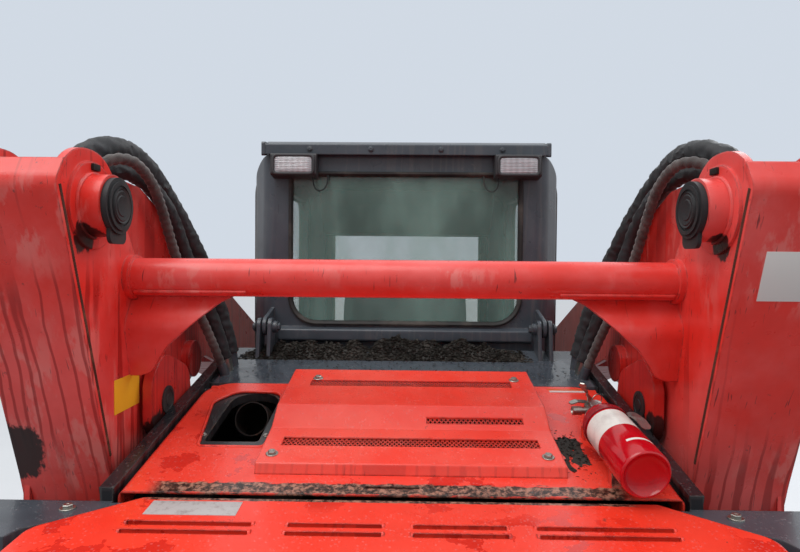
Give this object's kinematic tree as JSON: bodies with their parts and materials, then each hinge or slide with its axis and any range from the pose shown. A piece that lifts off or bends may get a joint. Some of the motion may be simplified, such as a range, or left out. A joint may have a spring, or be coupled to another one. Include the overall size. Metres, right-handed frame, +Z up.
{
  "type": "skid steer loader",
  "caption": "Compact wheeled loader with rear-pivoted lift arms, closed cab, tilting bucket, opening hood, rear door and side-hinged front door.",
  "frame": {"origin": "on the ground under the centre of the machine's outline, bucket lip to rear door", "axes": "+Y forward, +X to the driver's right, +Z up"},
  "size_m": [1.7, 3.54, 2.03],
  "materials": {
    "black_paint": "satin",
    "cast": "rough",
    "chrome_rod": "polished",
    "glass": "clear tint",
    "grey_paint": "satin",
    "hose": "wrapped",
    "lamp": "clear lens",
    "plastic": "textured",
    "red_paint": "faded satin",
    "rubber": "dull",
    "seat_vinyl": "vinyl",
    "steel": "worn",
    "tail_lamp": "red lens",
    "tyre": "matte",
    "white_paint": "gloss"
  },
  "bodies": {
    "frame": {"main_frame": "black_paint", "axle_housings": "cast", "link_towers": "red_paint", "frame_pins": "steel", "hood_surround": "grey_paint", "rear_corner_panels": "grey_paint", "rear_bumper": "black_paint", "tail_lamps": "tail_lamp", "engine_block": "cast", "exhaust_pipe": "cast"},
    "hood": {"hood_panel": "red_paint", "exhaust_collar": "black_paint", "hood_screen": "grey_paint", "screen_mesh": "black_paint", "fire_extinguisher": "red_paint"},
    "rear_door": {"rear_door_panel": "red_paint", "rear_grille": "black_paint"},
    "cab": {"cab_frame": "grey_paint", "cab_roof": "grey_paint", "cab_glass": "glass", "seat_base": "black_paint", "seat_cushion": "seat_vinyl", "seat_back": "seat_vinyl", "control_consoles": "plastic", "work_lamps": "lamp"},
    "front_door": {"door_frame": "black_paint", "door_glass": "glass"},
    "rear_link": {"rear_link_frame": "red_paint", "link_bosses": "red_paint", "boss_caps": "rubber"},
    "lift_arms": {"lift_arm_left": "red_paint", "lift_arm_right": "red_paint", "arm_leg_left": "red_paint", "arm_leg_right": "red_paint", "arm_cross_tube": "red_paint", "hoses_left": "hose", "hoses_right": "hose"},
    "coupler": {"quick_coupler": "black_paint", "bucket": "steel"},
    "control_link_left": {"control_link_left": "red_paint"},
    "lift_barrel_left": {"lift_barrel_left": "black_paint"},
    "lift_rod_left": {"lift_rod_left": "chrome_rod"},
    "tilt_barrel_left": {"tilt_barrel_left": "black_paint"},
    "tilt_rod_left": {"tilt_rod_left": "chrome_rod"},
    "wheel_rear_left": {"rim_rear_left": "white_paint", "tyre_rear_left": "tyre"},
    "wheel_front_left": {"rim_front_left": "white_paint", "tyre_front_left": "tyre"},
    "control_link_right": {"control_link_right": "red_paint"},
    "lift_barrel_right": {"lift_barrel_right": "black_paint"},
    "lift_rod_right": {"lift_rod_right": "chrome_rod"},
    "tilt_barrel_right": {"tilt_barrel_right": "black_paint"},
    "tilt_rod_right": {"tilt_rod_right": "chrome_rod"},
    "wheel_rear_right": {"rim_rear_right": "white_paint", "tyre_rear_right": "tyre"},
    "wheel_front_right": {"rim_front_right": "white_paint", "tyre_front_right": "tyre"}
  },
  "joints": [
    {"name": "rear_link_lean", "type": "hinge", "parent": "frame", "child": "rear_link", "pos_m": [0, -1.27, 0.93], "axis": [1, 0, 0], "range_deg": [0, 12]},
    {"name": "arm_lift", "type": "hinge", "parent": "rear_link", "child": "lift_arms", "pos_m": [0, -1.44, 1.71], "axis": [1, 0, 0], "range_deg": [0, 48]},
    {"name": "bucket_tilt", "type": "hinge", "parent": "lift_arms", "child": "coupler", "pos_m": [0, 0.985, 0.215], "axis": [1, 0, 0], "range_deg": [-95, 15]},
    {"name": "cab_tilt", "type": "hinge", "parent": "frame", "child": "cab", "pos_m": [0, -0.67, 1.38], "axis": [1, 0, 0], "range_deg": [0, 45]},
    {"name": "hood_open", "type": "hinge", "parent": "frame", "child": "hood", "pos_m": [0, -0.945, 1.221], "axis": [1, 0, 0], "range_deg": [-12, 0]},
    {"name": "rear_door_open", "type": "hinge", "parent": "frame", "child": "rear_door", "pos_m": [0.7, -1.7, 0], "axis": [0, 0, 1], "range_deg": [0, 100]},
    {"name": "front_door_open", "type": "hinge", "parent": "cab", "child": "front_door", "pos_m": [-0.452, 0.585, 0], "axis": [0, 0, -1], "range_deg": [-85, 0]},
    {"name": "control_link_swing_left", "type": "hinge", "parent": "frame", "child": "control_link_left", "pos_m": [-0.618, 0.3, 0.93], "axis": [1, 0, 0], "range_deg": [-17.28, 0]},
    {"name": "lift_barrel_swing_left", "type": "hinge", "parent": "frame", "child": "lift_barrel_left", "pos_m": [-0.7375, -1.47, 0.55], "axis": [1, 0, 0], "range_deg": [0, 18.48]},
    {"name": "lift_rod_slide_left", "type": "slide", "parent": "lift_barrel_left", "child": "lift_rod_left", "axis": [0, 0.6371, 0.7707], "range_m": [0, 0.5589]},
    {"name": "tilt_barrel_swing_left", "type": "hinge", "parent": "lift_arms", "child": "tilt_barrel_left", "pos_m": [-0.5905, 0.74, 0.93], "axis": [1, 0, 0], "range_deg": [-0.48, 3.04]},
    {"name": "tilt_rod_slide_left", "type": "slide", "parent": "tilt_barrel_left", "child": "tilt_rod_left", "axis": [0, 0.4409, -0.8976], "range_m": [-0.0297, 0.1875]},
    {"name": "wheel_rear_left_spin", "type": "hinge", "parent": "frame", "child": "wheel_rear_left", "pos_m": [-0.69, -0.92, 0.42], "axis": [1, 0, 0], "continuous": true},
    {"name": "wheel_front_left_spin", "type": "hinge", "parent": "frame", "child": "wheel_front_left", "pos_m": [-0.69, 0.18, 0.42], "axis": [1, 0, 0], "continuous": true},
    {"name": "control_link_swing_right", "type": "hinge", "parent": "frame", "child": "control_link_right", "pos_m": [0.618, 0.3, 0.93], "axis": [1, 0, 0], "range_deg": [-17.28, 0]},
    {"name": "lift_barrel_swing_right", "type": "hinge", "parent": "frame", "child": "lift_barrel_right", "pos_m": [0.7375, -1.47, 0.55], "axis": [1, 0, 0], "range_deg": [0, 18.48]},
    {"name": "lift_rod_slide_right", "type": "slide", "parent": "lift_barrel_right", "child": "lift_rod_right", "axis": [0, 0.6371, 0.7707], "range_m": [0, 0.5589]},
    {"name": "tilt_barrel_swing_right", "type": "hinge", "parent": "lift_arms", "child": "tilt_barrel_right", "pos_m": [0.5905, 0.74, 0.93], "axis": [1, 0, 0], "range_deg": [-0.48, 3.04]},
    {"name": "tilt_rod_slide_right", "type": "slide", "parent": "tilt_barrel_right", "child": "tilt_rod_right", "axis": [0, 0.4409, -0.8976], "range_m": [-0.0297, 0.1875]},
    {"name": "wheel_rear_right_spin", "type": "hinge", "parent": "frame", "child": "wheel_rear_right", "pos_m": [0.69, -0.92, 0.42], "axis": [1, 0, 0], "continuous": true},
    {"name": "wheel_front_right_spin", "type": "hinge", "parent": "frame", "child": "wheel_front_right", "pos_m": [0.69, 0.18, 0.42], "axis": [1, 0, 0], "continuous": true}
  ],
  "couplings": [
    {"joint": "rear_link_lean", "follows": "arm_lift", "ratio": 0.25},
    {"joint": "control_link_swing_left", "follows": "arm_lift", "ratio": -0.36},
    {"joint": "lift_barrel_swing_left", "follows": "arm_lift", "ratio": 0.385},
    {"joint": "lift_rod_slide_left", "follows": "arm_lift", "m_per_rad": 0.667},
    {"joint": "tilt_barrel_swing_left", "follows": "bucket_tilt", "ratio": -0.032},
    {"joint": "tilt_rod_slide_left", "follows": "bucket_tilt", "m_per_rad": -0.113},
    {"joint": "control_link_swing_right", "follows": "arm_lift", "ratio": -0.36},
    {"joint": "lift_barrel_swing_right", "follows": "arm_lift", "ratio": 0.385},
    {"joint": "lift_rod_slide_right", "follows": "arm_lift", "m_per_rad": 0.667},
    {"joint": "tilt_barrel_swing_right", "follows": "bucket_tilt", "ratio": -0.032},
    {"joint": "tilt_rod_slide_right", "follows": "bucket_tilt", "m_per_rad": -0.113}
  ]
}
